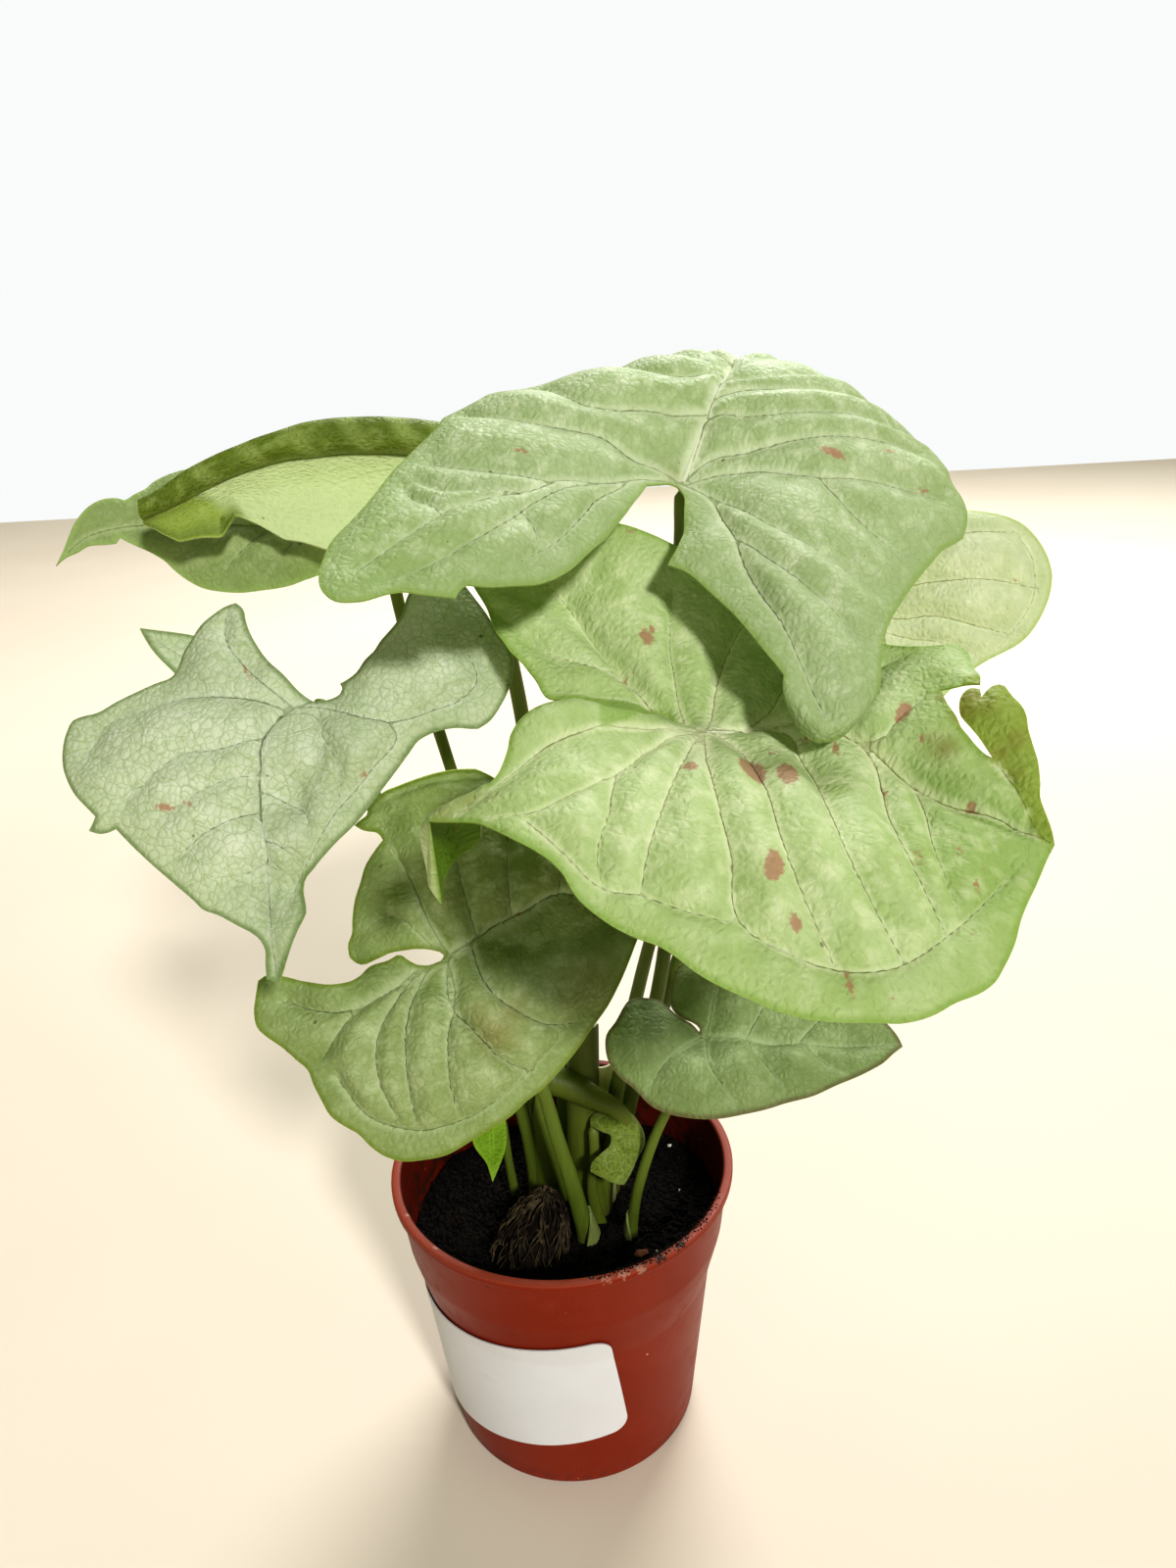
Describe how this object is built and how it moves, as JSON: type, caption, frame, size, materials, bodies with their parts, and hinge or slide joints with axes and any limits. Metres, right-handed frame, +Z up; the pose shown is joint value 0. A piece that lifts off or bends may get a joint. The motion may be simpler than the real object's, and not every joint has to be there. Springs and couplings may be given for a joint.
{
  "type": "potted arrowhead plant",
  "caption": "Arrowhead plant with pale milky green arrow-shaped leaves on slender stems, standing in soil in a small tapered terracotta-coloured plastic pot with a blank label.",
  "frame": {"origin": "middle of the pot's flat base, on the surface that the pot stands on", "axes": "+Z up, front of the pot with the label to -Y, right side to +X"},
  "size_m": [0.1719, 0.1519, 0.2164],
  "materials": {
    "plastic": "matte terracotta-red moulded plastic, dusty at the rim",
    "paper": "matt white label paper",
    "peat": "damp near-black peat with bark and perlite",
    "roots": "brown fibrous old roots",
    "blade": "satin milky green leaf with pale veins and greener margins",
    "stem": "smooth satin mid-green leaf stalk"
  },
  "bodies": {
    "root": {"blade_back_right": "blade", "blade_bud": "blade", "blade_left": "blade", "blade_left_small": "blade", "blade_low": "blade", "blade_low_right": "blade", "blade_new": "blade", "blade_right": "blade", "blade_rolled": "blade", "blade_top": "blade", "blade_upper_left": "blade", "label": "paper", "pot": "plastic", "root_clump": "roots", "soil": "peat", "stem_back_right": "stem", "stem_bud": "stem", "stem_left": "stem", "stem_left_small": "stem", "stem_low": "stem", "stem_low_right": "stem", "stem_new": "stem", "stem_right": "stem", "stem_rolled": "stem", "stem_top": "stem", "stem_upper_left": "stem"}
  },
  "joints": []
}
